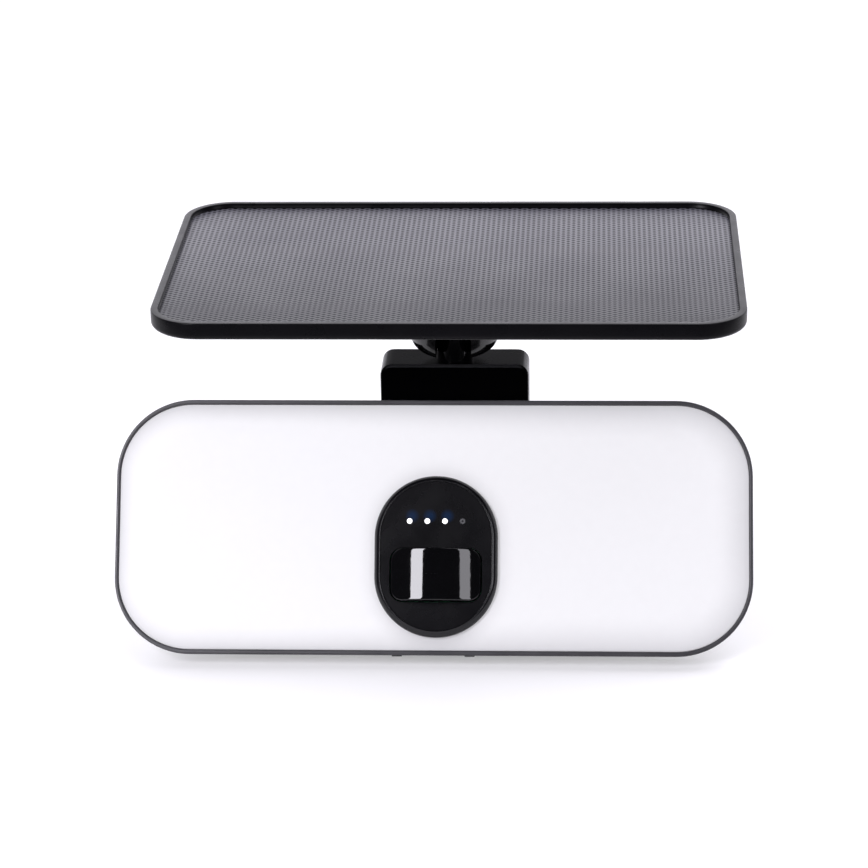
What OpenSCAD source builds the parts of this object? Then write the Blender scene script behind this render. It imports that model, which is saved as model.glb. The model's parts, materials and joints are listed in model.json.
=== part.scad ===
// Solar floodlight with a motion sensor, held on a wall bracket.
// Frame: X runs right, -Y points out of the wall, Z is up. The origin is the middle of the wall mount,
// on the wall's surface. The lamp leans back by lamp_tilt, and everything else is square to the wall.

/* [Wall bracket] */
// Width of the head block
block_w = 60; // [56:1:72]
// Height of the head block
block_h = 93; // [90:1:110]
// Depth of the head block, from front to back
block_d = 18.5; // [18:0.5:24]
// Height of the block's top above the wall mount
block_top = 63.8; // [60:0.1:70]
// Distance from the wall to the neck's axis
neck_out = 80; // [78:1:120]
// Width of the wall base
base_w = 52; // [50:1:60]
// Height of the wall base
base_h = 60; // [58:1:64]

/* [Solar panel] */
// Width of the panel
panel_w = 230.5; // [180:0.5:260]
// Depth of the panel, from front to back
panel_d = 150.5; // [110:0.5:152]
// Corner radius of the panel
panel_r = 19.7; // [10:0.1:30]
// Thickness of the panel
panel_t = 7; // [6.6:0.1:9]
// Height of the panel's underside above the block
panel_up = 34.9; // [34:0.1:40]
// Width of the rim around the solar film
rim_w = 2.3; // [2:0.1:4]

/* [Lamp] */
// Width of the lamp
lamp_w = 250; // [246:1:280]
// Height of the lamp
lamp_h = 100.5; // [100:0.5:110]
// Corner radius of the lamp
lamp_r = 30; // [28:0.5:32]
// How far the lamp leans back
lamp_tilt = 30; // [10:1:35]
// Sideways place of the lamp's middle from the bracket's middle
lamp_x = -6.4; // [-8:0.1:-5]
// Depth of the battery bay behind the lamp's face
bay_deep = 32; // [31.5:0.5:34]

/* [Sensor pod] */
// Width of the sensor pod
pod_w = 48.3; // [46:0.1:50]
// Height of the sensor pod
pod_h = 63.5; // [62:0.1:65]
// Distance of the pod's middle below the lamp's middle
pod_drop = 11.8; // [11:0.1:12.5]
// Distance of the pod's middle to the right of the lamp's middle
pod_x = 1.4; // [0:0.1:2]
// Width of the sensor window
window_w = 35.4; // [30:0.1:36]
// Height of the sensor window
window_h = 20.5; // [16:0.1:21]
// How far the sensor window bulges out of the pod's face
window_bulge = 5.5; // [3:0.5:7]

/* [Wall mount] */
// Distance between the wall holes from side to side
hole_x = 34; // [30:1:36]
// Distance between the wall holes up and down
hole_z = 42; // [36:1:42]
// Radius of the wall holes
hole_r = 2.4; // [2:0.1:2.8]

/* [Hidden] */
$fn = 64;

// Clearance of a pin in a bore that turns or slides on it, on the radius
fit = 0.05;
// Gap between neighbouring pieces that only meet
gap = 0.3;
wall = 3;

// Neck, cup and panel
neck_y = -neck_out;
stem_r = 7.1;
journal_r = 4.6;
thread_r = 4;
bush_r = 5.4;
neck_boss_w = 15;
neck_washer_r = 5.9;
neck_nut_across = 10.4;
bush_len = 10;
washer_t = 1.5;
neck_nut_t = 6;
cup_r = 17.8;
cup_edge = 11;
cup_up = 2.8;
bolt_seat_x = 13;
slot_w = 14.8;
tilt_up = 23.7;
panel_pivot_z = block_top + tilt_up;
cup_bottom = block_top + cup_up;
panel_bottom = block_top + panel_up;
roof_z = panel_pivot_z + stem_r + 0.9;
eye_w = 12.6;
floor_t = 1.8;
film_drop = 1.5;
film_t = 1.4;
cell_t = 0.3;
film_up = panel_t - film_drop - film_t;
cell_up = film_up - cell_t;
cup_screw_out = 11.5;
cup_screw_y = 6.3;
cup_screw_len = 11;

// Bolts and nuts
bolt_r = 2.5;
bolt_head_r = 4.2;
bolt_head_t = 3;
nut_across = 8;
nut_t = 3.6;
screw_r = 1.5;
screw_head_r = 2.75;
screw_head_t = 1.6;
small_r = 1.1;
small_head_r = 2;
small_head_t = 1;

// Bracket
block_r = 4.8;
block_edge = 1;
block_back = neck_y + block_d / 2;
block_front = neck_y - block_d / 2;
block_mid = block_top - block_h / 2;
flange_t = 3;
boss_r = 3.6;
arm_w = 34;
arm_h = 40;
arm_r = 6;
base_t = 14;
base_r = 5;
plate_t = 2;
arm_screw_x = block_w / 2 - wall - boss_r;
arm_screw_z = block_h / 2 - wall - boss_r;
tab_w = 14;
tab_len = 9;

// Two-way joint behind the lamp
pan_out = 8;
pan_y = block_front - pan_out;
lug_r = 6.5;
lug_t = 5;
barrel_r = 6;
barrel_h = 16;
tilt_out = 14.6;
tilt_y = pan_y - tilt_out;
tilt_z = -2.9;
tilt_r = 7;
tilt_barrel_w = 12.4;
tilt_washer_t = 0.9;
ear_t = 5;
ear_in = 7.3;
ear_r = 7.5;
pivot_back = bay_deep + 12;

// Lamp stack, measured back from the lamp's face
rim_side = 1.4;
rim_top = 1.8;
rim_deep = 3;
bezel_deep = 7.6;
bezel_step = 0.9;
skirt_step = 1;
skirt_from = 2.4;
flange_from = 6.2;
gasket_t = 0.4;
housing_from = bezel_deep + gasket_t;
housing_step = 1.2;
tray_floor = 11.3;
tray_deep = 13.5;
bay_w = 190;
bay_h = 54;
bay_r = 12;
bay_floor = bay_deep - 2.5;
screw_in = 8.75;
corner_x = lamp_w / 2 - lamp_r + (lamp_r - screw_in) * cos(45);
corner_z = lamp_h / 2 - lamp_r + (lamp_r - screw_in) * sin(45);
lamp_screws = [
    for (x = [-1, 1], z = [-1, 1]) [x * corner_x, z * corner_z],
    for (x = [-1, 1], z = [-1, 1]) [x * 38, z * (lamp_h / 2 - screw_in)]
];
dome = 1.4;
diffuser_edge = 0.6;
diffuser_front = diffuser_edge - dome;
diffuser_back = 2.8;
board_w = 206;
board_h = 73;
board_y = 9;
board_t = 1.2;
board_fix = [[-60, 30], [60, 30], [-60, -30], [60, -30], [-98, 0], [98, 0]];
led_size = 3;
led_t = 0.8;
led_rows = [-32, -12, 12, 32];
led_columns = [36, 53, 70, 87, 100];
leds_above_pod = [-18, 0, 18];
led_spots = [
    for (z = led_rows, x = led_columns, side = [-1, 1]) [side * x, z],
    for (x = leds_above_pod) [x, 32]
];

// Sensor pod
pod_z = -pod_drop;
pod_lip = 2.45;
pod_proud = 3.6;
pod_front = diffuser_front - pod_proud;
face_front = pod_front + 0.4;
face_t = 1.6;
pod_body_w = pod_w - 2.6;
pod_body_h = pod_h - 2.6;
pod_body_wall = 1.8;
pod_deep = 8.3;
pod_post_z = 25.6;
pod_post_w = 6;
window_z = pod_z - 7.4;
window_r = 4.8;
window_gap = 0.4;
window_curve = (pow(window_w / 2, 2) + pow(window_bulge, 2)) / (2 * window_bulge);
dot_pitch = 6.9;
dot_z = pod_z + 13.7;
dot_r = 1.2;
sensor_board_y = 3.2;
sensor_board_t = 1.6;

// Battery bay
cell_r = 9.1;
cell_len = 65;
cell_z = 9.4;
cell_y = 20;
cell_x = -50;
cover_w = 72;
cover_h = 46;
cover_r = 7;
cover_t = 1.6;
seal_t = 0.4;
cover_open_w = 66;
cover_open_h = 40;
cover_tab_x = cover_w / 2 + 2.5;
cover_tab_r = 3.5;
cover_boss_r = 2.2;
cover_boss_len = 4;
cover_screw_len = 5.5;
control_x = 56;
control_w = 60;
control_h = 40;
control_y = 14;
control_t = 1.6;
control_fix_x = control_w / 2 - 4;
control_fix_z = control_h / 2 - 4;

// Buttons under the lamp
button_x = 14.3;
button_y = 9.9;
button_w = 4.9;
button_d = 2.6;
button_tip_w = 3.7;
button_tip_z = -50;
button_travel = 0.8;
tray_h = 88.5;
tray_w = 238;
tray_wall_z = -tray_h / 2;

// Rounded rectangle about the origin, with true arcs at its corners
module rounded(w, h, r) {
    square([w - 2 * r, h], center = true);
    square([w, h - 2 * r], center = true);
    for (x = [-1, 1], y = [-1, 1])
        translate([x * (w / 2 - r), y * (h / 2 - r)])
            circle(r);
}

// Upright slot shape about the origin, with half-round ends
module stadium(w, h) {
    square([w, h - w], center = true);
    for (y = [-1, 1])
        translate([0, y * (h - w) / 2])
            circle(w / 2);
}

// Outline of the lamp, drawn in by a step all round
module lamp_outline(step_x, step_z) {
    rounded(lamp_w - 2 * step_x, lamp_h - 2 * step_z, lamp_r - (step_x + step_z) / 2);
}

// Extrudes an outline that is drawn in X and Z, from one depth to a greater one
module upright(from, to) {
    translate([0, to, 0])
        rotate([90, 0, 0])
            linear_extrude(to - from)
                children();
}

// Cylinder along Y, from one depth to a greater one, at a place in X and Z
module rod_y(r, from, to, x = 0, z = 0) {
    translate([x, from, z])
        rotate([-90, 0, 0])
            cylinder(r = r, h = to - from);
}

// Cylinder along X, from one side to the other, at a place in Y and Z
module rod_x(r, from, to, y, z) {
    translate([from, y, z])
        rotate([0, 90, 0])
            cylinder(r = r, h = to - from);
}

// Hexagonal nut with its bore, standing on the XY plane
module nut(across, thick, bore) {
    difference() {
        cylinder(r = across / 2 / cos(30), h = thick, $fn = 6);
        translate([0, 0, -1])
            cylinder(r = bore, h = thick + 2);
    }
}

// Socket-head screw with its head's top on the XY plane, pointing down
module screw(head_r, head_t, shank_r, length) {
    difference() {
        translate([0, 0, -head_t])
            cylinder(r = head_r, h = head_t);
        translate([0, 0, -head_t / 2])
            cylinder(r = shank_r * 0.8, h = head_t, $fn = 6);
    }
    translate([0, 0, -length])
        cylinder(r = shank_r, h = length - head_t);
}

// Flat ring standing on the XY plane
module ring(outer, inner, thick) {
    difference() {
        cylinder(r = outer, h = thick);
        translate([0, 0, -1])
            cylinder(r = inner, h = thick + 2);
    }
}

// Places the lamp's own frame: its origin is the middle of the face, and Y runs into the lamp
module in_lamp() {
    translate([lamp_x, tilt_y, tilt_z])
        rotate([-lamp_tilt, 0, 0])
            translate([0, -pivot_back, 0])
                children();
}

// Places its children in the pod's own frame, which is the lamp's frame moved sideways
module in_pod() {
    in_lamp()
        translate([pod_x, 0, 0])
            children();
}

// Turns a screw that points down so that it points out of the lamp's back, its head there
module from_back(depth) {
    translate([0, depth, 0])
        rotate([-90, 0, 0])
            children();
}

// ---- Wall bracket ----

module wall_plate() {
    color("silver")
    difference() {
        union() {
            upright(-plate_t, 0)
                rounded(base_w - 2 * wall - 1, base_h - 2 * wall - 1, 3);
            for (side = [-1, 1])
                translate([0, -tab_len / 2, side * (base_h / 2 - wall - 0.5 - plate_t / 2)])
                    cube([tab_w, tab_len, plate_t], center = true);
        }
        for (x = [-1, 1], z = [-1, 1])
            rod_y(hole_r, -plate_t - 1, 1, x * hole_x / 2, z * hole_z / 2);
        for (side = [-1, 1])
            translate([0, -tab_len / 2 - 1, side * (base_h / 2 - wall - 0.5 - plate_t / 2)])
                cylinder(r = screw_r + fit, h = plate_t + 2, center = true);
    }
}

module base_screws() {
    color("dimgray")
    for (side = [0, 1])
        mirror([0, 0, side])
            translate([0, -tab_len / 2 - 1, base_h / 2 - 1.2 + screw_head_t])
                screw(screw_head_r, screw_head_t, screw_r, 8);
}

module bracket_arm() {
    color([0.07, 0.07, 0.075])
    difference() {
        union() {
            upright(-base_t, 0)
                rounded(base_w, base_h, base_r);
            upright(block_back, -base_t / 2)
                rounded(arm_w, arm_h, arm_r);
            translate([0, 0, block_mid])
                upright(block_back - flange_t, block_back)
                    rounded(block_w - 2 * wall - 2 * gap, block_h - 2 * wall - 2 * gap, block_r - wall + 1);
        }
        upright(-base_t + wall, 1)
            rounded(base_w - 2 * wall, base_h - 2 * wall, base_r - wall + 1);
        upright(block_back, -base_t / 2)
            rounded(arm_w - 2 * wall, arm_h - 2 * wall, arm_r - wall);
        for (x = [-1, 1], z = [-1, 1])
            rod_y(screw_r + fit, block_back - flange_t - 1, block_back + 1,
                  x * arm_screw_x, block_mid + z * arm_screw_z);
        for (side = [0, 1])
            mirror([0, 0, side])
                translate([0, -tab_len / 2 - 1, 0]) {
                    cylinder(r = screw_r + fit, h = base_h);
                    translate([0, 0, base_h / 2 - 1.2])
                        cylinder(r = screw_head_r + gap, h = base_h);
                }
    }
}

module arm_screws() {
    color("dimgray")
    for (x = [-1, 1], z = [-1, 1])
        translate([x * arm_screw_x, block_back, block_mid + z * arm_screw_z])
            from_back(screw_head_t)
                screw(screw_head_r, screw_head_t, screw_r, 12);
}

module bracket_body() {
    color([0.05, 0.05, 0.055])
    difference() {
        union() {
            difference() {
                translate([0, 0, block_mid]) {
                    upright(block_front + block_edge, block_back)
                        rounded(block_w, block_h, block_r);
                    hull() {
                        upright(block_front + block_edge, block_front + block_edge + 0.1)
                            rounded(block_w, block_h, block_r);
                        upright(block_front + block_edge * 0.3, block_front + block_edge * 0.4)
                            rounded(block_w - block_edge * 0.6, block_h - block_edge * 0.6,
                                    block_r - block_edge * 0.3);
                        upright(block_front, block_front + 0.1)
                            rounded(block_w - 2 * block_edge, block_h - 2 * block_edge, block_r - block_edge);
                    }
                }
                translate([0, 0, block_mid])
                    upright(block_front + wall, block_back + 1)
                        rounded(block_w - 2 * wall, block_h - 2 * wall, block_r - wall + 0.5);
            }
            // Screw bosses
            for (x = [-1, 1], z = [-1, 1])
                rod_y(boss_r, block_front + wall, block_back - flange_t,
                      x * arm_screw_x, block_mid + z * arm_screw_z);
            // Socket for the neck's bush
            translate([-neck_boss_w / 2, block_front + wall - 0.1, block_top - bush_len])
                cube([neck_boss_w, block_d - wall - flange_t - gap + 0.1, bush_len - wall + 0.1]);
            // Lugs for the pan joint
            for (z = [tilt_z - barrel_h / 2 - gap - lug_t, tilt_z + barrel_h / 2 + gap])
                translate([0, 0, z]) {
                    translate([0, pan_y, 0])
                        cylinder(r = lug_r, h = lug_t);
                    translate([-lug_r, pan_y, 0])
                        cube([2 * lug_r, pan_out + wall / 2, lug_t]);
                }
        }
        translate([0, neck_y, block_top - bush_len - 1])
            cylinder(r = bush_r, h = bush_len + 2);
        translate([0, pan_y, tilt_z - barrel_h])
            cylinder(r = bolt_r + fit, h = 2 * barrel_h);
        for (x = [-1, 1], z = [-1, 1])
            rod_y(screw_r + fit, block_back - flange_t - 11, block_back,
                  x * arm_screw_x, block_mid + z * arm_screw_z);
    }
}

module neck_bush() {
    color("goldenrod")
    translate([0, neck_y, block_top - bush_len])
        ring(bush_r, journal_r + fit, bush_len - 0.1);
}

module pan_bolt() {
    low = tilt_z - barrel_h / 2 - gap - lug_t;
    high = tilt_z + barrel_h / 2 + gap + lug_t;
    color("dimgray")
    translate([0, pan_y, high + bolt_head_t])
        screw(bolt_head_r, bolt_head_t, bolt_r, high + bolt_head_t - low + nut_t);
}

module pan_nut() {
    color("silver")
    translate([0, pan_y, tilt_z - barrel_h / 2 - gap - lug_t - nut_t])
        nut(nut_across, nut_t, bolt_r);
}

// ---- Neck that turns in the top of the block ----

module neck_stem() {
    shoulder = panel_pivot_z - stem_r - 1;
    color([0.04, 0.04, 0.045])
    difference() {
        union() {
            translate([0, neck_y, block_top])
                cylinder(r = stem_r, h = shoulder - block_top);
            translate([-eye_w / 2, neck_y - stem_r, shoulder])
                cube([eye_w, 2 * stem_r, stem_r + 1]);
            rod_x(stem_r, -eye_w / 2, eye_w / 2, neck_y, panel_pivot_z);
            translate([0, neck_y, block_top - bush_len - 0.1])
                cylinder(r = journal_r, h = bush_len + 0.1);
            translate([0, neck_y, block_top - bush_len - washer_t - neck_nut_t - 1.5])
                cylinder(r = thread_r, h = washer_t + neck_nut_t + 2.5);
        }
        rod_x(bolt_r + fit, -eye_w, eye_w, neck_y, panel_pivot_z);
    }
}

module neck_washer() {
    color("silver")
    translate([0, neck_y, block_top - bush_len - 0.1 - washer_t])
        ring(neck_washer_r, thread_r, washer_t);
}

module neck_nut() {
    color("silver")
    translate([0, neck_y, block_top - bush_len - 0.1 - washer_t - neck_nut_t])
        nut(neck_nut_across, neck_nut_t, thread_r);
}

// ---- Solar panel ----

// Profile of the cup from its axis outwards, with a round lower edge
module cup_profile() {
    height = panel_bottom - cup_bottom;
    square([cup_r - cup_edge, height]);
    translate([0, cup_edge])
        square([cup_r, height - cup_edge]);
    translate([cup_r - cup_edge, cup_edge])
        circle(cup_edge);
}

module neck_cup() {
    color([0.06, 0.06, 0.065])
    difference() {
        translate([0, neck_y, cup_bottom])
            rotate_extrude()
                intersection() {
                    cup_profile();
                    square([cup_r + 1, panel_up]);
                }
        translate([-slot_w / 2, neck_y - cup_r - 1, cup_bottom - 1])
            cube([slot_w, 2 * cup_r + 2, roof_z - cup_bottom + 1]);
        rod_x(bolt_r + fit, -cup_r, cup_r, neck_y, panel_pivot_z);
        for (side = [-1, 1])
            rod_x(bolt_head_r + 0.6, side > 0 ? bolt_seat_x : -cup_r - 1, side > 0 ? cup_r + 1 : -bolt_seat_x,
                  neck_y, panel_pivot_z);
        for (x = [-1, 1], y = [-1, 1])
            translate([x * cup_screw_out, neck_y + y * cup_screw_y, panel_bottom - cup_screw_len - 1])
                cylinder(r = screw_r + fit, h = cup_screw_len + 2);
    }
}

module cup_screws() {
    color("silver")
    for (x = [-1, 1], y = [-1, 1])
        translate([x * cup_screw_out, neck_y + y * cup_screw_y, panel_bottom + floor_t]) {
            translate([0, 0, -floor_t])
                cylinder(r1 = screw_r, r2 = screw_head_r - 0.2, h = floor_t - 0.2);
            translate([0, 0, -cup_screw_len])
                cylinder(r = screw_r, h = cup_screw_len - floor_t);
        }
}

module panel_bolt() {
    color("dimgray")
    translate([-bolt_seat_x - bolt_head_t, neck_y, panel_pivot_z])
        rotate([0, -90, 0])
            screw(bolt_head_r, bolt_head_t, bolt_r, 2 * (bolt_seat_x + bolt_head_t));
}

module panel_nut() {
    color("silver")
    translate([bolt_seat_x, neck_y, panel_pivot_z])
        rotate([0, 90, 0])
            nut(nut_across, 3, bolt_r);
}

module panel_washers() {
    thick = (slot_w - eye_w) / 2 - 0.1;
    color("gray")
    for (x = [slot_w / 2 - thick, -slot_w / 2])
        translate([x, neck_y, panel_pivot_z])
            rotate([0, 90, 0])
                ring(6, bolt_r + fit, thick);
}

module panel_frame() {
    color([0.06, 0.06, 0.065])
    translate([0, neck_y, 0])
    difference() {
        union() {
            translate([0, 0, panel_bottom + 1])
                linear_extrude(panel_t - 1)
                    rounded(panel_w, panel_d, panel_r);
            hull() {
                translate([0, 0, panel_bottom + 1])
                    linear_extrude(0.1)
                        rounded(panel_w, panel_d, panel_r);
                translate([0, 0, panel_bottom])
                    linear_extrude(0.1)
                        rounded(panel_w - 2.4, panel_d - 2.4, panel_r - 1.2);
            }
        }
        translate([0, 0, panel_bottom + floor_t])
            linear_extrude(panel_t)
                rounded(panel_w - 2 * rim_w, panel_d - 2 * rim_w, panel_r - rim_w);
        for (x = [-1, 1], y = [-1, 1])
            translate([x * cup_screw_out, y * cup_screw_y, panel_bottom]) {
                cylinder(r1 = screw_r + fit, r2 = screw_head_r + fit, h = floor_t);
                translate([0, 0, -1])
                    cylinder(r = screw_r + fit, h = 2);
            }
    }
}

// Flat layer inside the panel's rim, at a height above the panel's underside
module panel_layer(inset, up, thick) {
    translate([0, neck_y, panel_bottom + up])
        linear_extrude(thick)
            rounded(panel_w - 2 * rim_w - 2 * inset, panel_d - 2 * rim_w - 2 * inset, panel_r - rim_w - inset);
}

module solar_backsheet() {
    color("white")
    panel_layer(0.2, floor_t, cell_up - floor_t);
}

module solar_cells() {
    columns = 8;
    rows = 2;
    margin = 8;
    space = 1.5;
    cell_w = (panel_w - 2 * margin - (columns - 1) * space) / columns;
    cell_d = (panel_d - 2 * margin - (rows - 1) * space) / rows;
    color([0.05, 0.06, 0.12])
    for (i = [0:columns - 1], j = [0:rows - 1])
        translate([-panel_w / 2 + margin + i * (cell_w + space),
                   neck_y - panel_d / 2 + margin + j * (cell_d + space),
                   panel_bottom + cell_up])
            cube([cell_w, cell_d, cell_t]);
}

module solar_film() {
    color([0.24, 0.24, 0.27])
    panel_layer(0.2, film_up, film_t);
}

// ---- Two-way joint behind the lamp ----

module pan_knuckle() {
    color([0.07, 0.07, 0.075])
    difference() {
        union() {
            translate([0, pan_y, tilt_z - barrel_h / 2])
                cylinder(r = barrel_r, h = barrel_h);
            translate([-tilt_barrel_w / 2 + 0.5, tilt_y, tilt_z - 5])
                cube([tilt_barrel_w - 1, tilt_out, 10]);
            rod_x(tilt_r, -tilt_barrel_w / 2, tilt_barrel_w / 2, tilt_y, tilt_z);
        }
        translate([0, pan_y, tilt_z - barrel_h])
            cylinder(r = bolt_r + fit, h = 2 * barrel_h);
        rod_x(bolt_r + fit, -tilt_barrel_w, tilt_barrel_w, tilt_y, tilt_z);
    }
}

module tilt_bolt() {
    end = ear_in + ear_t;
    color("dimgray")
    translate([-end - bolt_head_t, tilt_y, tilt_z])
        rotate([0, -90, 0])
            screw(bolt_head_r, bolt_head_t, bolt_r, 2 * end + bolt_head_t + nut_t);
}

module tilt_nut() {
    color("silver")
    translate([ear_in + ear_t, tilt_y, tilt_z])
        rotate([0, 90, 0])
            nut(nut_across, nut_t, bolt_r);
}

module tilt_washers() {
    color("gray")
    for (x = [ear_in - tilt_washer_t, -ear_in])
        translate([x, tilt_y, tilt_z])
            rotate([0, 90, 0])
                ring(6.2, bolt_r + fit, tilt_washer_t);
}

// ---- Lamp ----

// Outer body of the rear housing: a shallow tray with a raised bay in its middle
module housing_body() {
    upright(housing_from, 10)
        lamp_outline(housing_step, housing_step);
    hull() {
        upright(9.9, 10)
            lamp_outline(housing_step, housing_step);
        upright(12.2, 12.3)
            lamp_outline(housing_step + 1.6, housing_step + 1.6);
        upright(tray_deep - 0.1, tray_deep)
            lamp_outline(housing_step + 4, housing_step + 4);
    }
    hull() {
        upright(tray_deep - 1, tray_deep - 0.9)
            rounded(bay_w + 14, bay_h + 14, bay_r + 7);
        upright(bay_deep - 3, bay_deep - 2.9)
            rounded(bay_w, bay_h, bay_r);
    }
    hull() {
        upright(bay_deep - 3, bay_deep - 2.9)
            rounded(bay_w, bay_h, bay_r);
        upright(bay_deep - 0.1, bay_deep)
            rounded(bay_w - 4, bay_h - 4, bay_r - 2);
    }
}

// Ears that hold the lamp on the joint
module housing_ears() {
    for (x = [-lamp_x - ear_in - ear_t, -lamp_x + ear_in]) {
        rod_x(ear_r, x, x + ear_t, pivot_back, 0);
        translate([x, bay_deep - 1, -ear_r])
            cube([ear_t, pivot_back - bay_deep + 1, 2 * ear_r]);
    }
}

// Outline of the battery cover with a tab at each end, larger by a step all round
module cover_outline(step) {
    rounded(cover_w + 2 * step, cover_h + 2 * step, cover_r + step);
    for (side = [-1, 1])
        translate([side * cover_tab_x, 0])
            circle(cover_tab_r + step);
}

module rear_housing() {
    color([0.06, 0.06, 0.065])
    in_lamp()
    difference() {
        union() {
            difference() {
                union() {
                    housing_body();
                    housing_ears();
                }
                upright(housing_from - 1, tray_floor)
                    rounded(tray_w, tray_h, lamp_r - 6);
                upright(tray_floor - 1, bay_floor)
                    rounded(bay_w - 6, bay_h - 6, bay_r - 3);
            }
            for (p = lamp_screws)
                rod_y(3.2, housing_from, tray_floor + 1, p[0], p[1]);
            for (p = board_fix)
                rod_y(3, board_y + board_t, tray_floor + 1, p[0], p[1]);
            for (x = [-1, 1], z = [-1, 1])
                rod_y(2.5, control_y + control_t, bay_floor + 1,
                      control_x + x * control_fix_x, z * control_fix_z);
            for (side = [-1, 1])
                rod_y(cover_boss_r, bay_floor - cover_boss_len, bay_floor + 0.1, cell_x + side * cover_tab_x);
        }
        rod_x(bolt_r + fit, -40, 40, pivot_back, 0);
        for (p = lamp_screws) {
            rod_y(screw_r + fit, housing_from - 1, tray_deep + 1, p[0], p[1]);
            rod_y(screw_head_r + gap, tray_deep - screw_head_t - 0.1, tray_deep + 1, p[0], p[1]);
        }
        for (p = board_fix)
            rod_y(small_r + fit, board_y, tray_deep - 0.8, p[0], p[1]);
        for (x = [-1, 1], z = [-1, 1])
            rod_y(small_r + fit, control_y, control_y + 9,
                  control_x + x * control_fix_x, z * control_fix_z);
        translate([cell_x, 0, 0]) {
            upright(bay_deep - cover_t - seal_t, bay_deep + 1)
                cover_outline(0.2);
            upright(bay_floor - 1, bay_deep)
                rounded(cover_open_w, cover_open_h, 4);
            for (side = [-1, 1])
                rod_y(small_r + fit, bay_floor - cover_boss_len - 1, bay_deep, side * cover_tab_x);
        }
        for (side = [-1, 1])
            translate([side * button_x - button_w / 2 - 0.15, button_y - button_d / 2 - 0.15, -lamp_h])
                cube([button_w + 0.3, button_d + 0.3, lamp_h + tray_wall_z + 1]);
    }
}

module battery_cover() {
    color([0.07, 0.07, 0.075])
    in_lamp()
    translate([cell_x, 0, 0])
    difference() {
        upright(bay_deep - cover_t, bay_deep)
            cover_outline(0);
        for (side = [-1, 1]) {
            rod_y(small_r + fit, bay_deep - cover_t - 1, bay_deep + 1, side * cover_tab_x);
            rod_y(small_head_r + 0.2, bay_deep - small_head_t, bay_deep + 1, side * cover_tab_x);
        }
    }
}

module cover_seal() {
    color([0.15, 0.15, 0.15])
    in_lamp()
    translate([cell_x, 0, 0])
        upright(bay_deep - cover_t - seal_t, bay_deep - cover_t)
            difference() {
                rounded(cover_w - 1, cover_h - 1, cover_r - 0.5);
                rounded(cover_open_w + 1, cover_open_h + 1, 4.5);
            }
}

module cover_screws() {
    color("silver")
    in_lamp()
    for (side = [-1, 1])
        translate([cell_x + side * cover_tab_x, 0, 0])
            from_back(bay_deep)
                screw(small_head_r, small_head_t, small_r, cover_screw_len);
}

module front_bezel() {
    color([0.16, 0.16, 0.17])
    in_lamp()
    difference() {
        union() {
            difference() {
                union() {
                    upright(0, rim_deep)
                        lamp_outline(0, 0);
                    upright(rim_deep - 0.1, bezel_deep)
                        lamp_outline(bezel_step, bezel_step);
                }
                upright(-1, skirt_from)
                    lamp_outline(rim_side, rim_top);
                upright(-1, flange_from)
                    lamp_outline(rim_side + skirt_step, rim_top + skirt_step);
                upright(-1, bezel_deep + 1)
                    lamp_outline(rim_side + 5.6, rim_top + 5.4);
            }
            for (p = lamp_screws)
                rod_y(3.2, skirt_from + 1, bezel_deep, p[0], p[1]);
        }
        for (p = lamp_screws)
            rod_y(screw_r + fit, skirt_from, bezel_deep + 1, p[0], p[1]);
    }
}

module housing_gasket() {
    color([0.2, 0.2, 0.2])
    in_lamp()
    upright(bezel_deep, housing_from)
        difference() {
            lamp_outline(2, 2);
            lamp_outline(3.75, 3.75);
        }
}

module housing_screws() {
    color("dimgray")
    in_lamp()
    for (p = lamp_screws)
        translate([p[0], 0, p[1]])
            from_back(tray_deep - 0.1)
                screw(screw_head_r, screw_head_t, screw_r, 9);
}

module diffuser() {
    hole_w = pod_w - 2.3;
    hole_h = pod_h - 2.3;
    color([0.96, 0.96, 0.97])
    in_lamp()
    difference() {
        union() {
            hull() {
                upright(diffuser_edge, diffuser_edge + 0.1)
                    lamp_outline(rim_side + 0.15, rim_top + 0.15);
                upright(diffuser_edge - dome * 0.7, diffuser_edge - dome * 0.7 + 0.1)
                    lamp_outline(rim_side + 6, rim_top + 6);
                upright(diffuser_front, diffuser_front + 0.1)
                    lamp_outline(rim_side + 14, rim_top + 14);
            }
            upright(diffuser_edge, skirt_from)
                lamp_outline(rim_side + 0.15, rim_top + 0.15);
            upright(skirt_from - 0.1, flange_from)
                lamp_outline(rim_side + skirt_step + 0.15, rim_top + skirt_step + 0.15);
        }
        upright(diffuser_back, flange_from + 1)
            lamp_outline(rim_side + skirt_step + 2, rim_top + skirt_step + 2);
        translate([pod_x, 0, pod_z])
            upright(diffuser_front - 1, diffuser_back + 1)
                stadium(hole_w, hole_h);
    }
}

// Outline of the flat boards behind the diffuser, open at the pod
module board_outline(step) {
    difference() {
        rounded(board_w - 2 * step, board_h - 2 * step, 6);
        translate([pod_x, pod_z])
            stadium(pod_body_w + 1.2 + 2 * step, pod_body_h + 1.2 + 2 * step);
    }
}

module reflector() {
    color("white")
    in_lamp()
    upright(board_y - 0.5, board_y)
        difference() {
            board_outline(0.5);
            for (p = led_spots)
                translate(p)
                    square(led_size + 1.4, center = true);
            for (p = board_fix)
                translate(p)
                    circle(small_head_r + 0.5);
        }
}

module led_board() {
    color([0.85, 0.85, 0.86])
    in_lamp()
    upright(board_y, board_y + board_t)
        difference() {
            board_outline(0);
            for (p = board_fix)
                translate(p)
                    circle(small_r + fit);
        }
}

module leds() {
    color([0.95, 0.9, 0.6])
    in_lamp()
    for (p = led_spots)
        translate([p[0], board_y - led_t / 2, p[1]])
            cube([led_size, led_t, led_size], center = true);
}

module board_screws() {
    color("silver")
    in_lamp()
    for (p = board_fix)
        translate([p[0], board_y - small_head_t, p[1]])
            rotate([90, 0, 0])
                screw(small_head_r, small_head_t, small_r, 4.5);
}

// ---- Sensor pod ----

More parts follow.
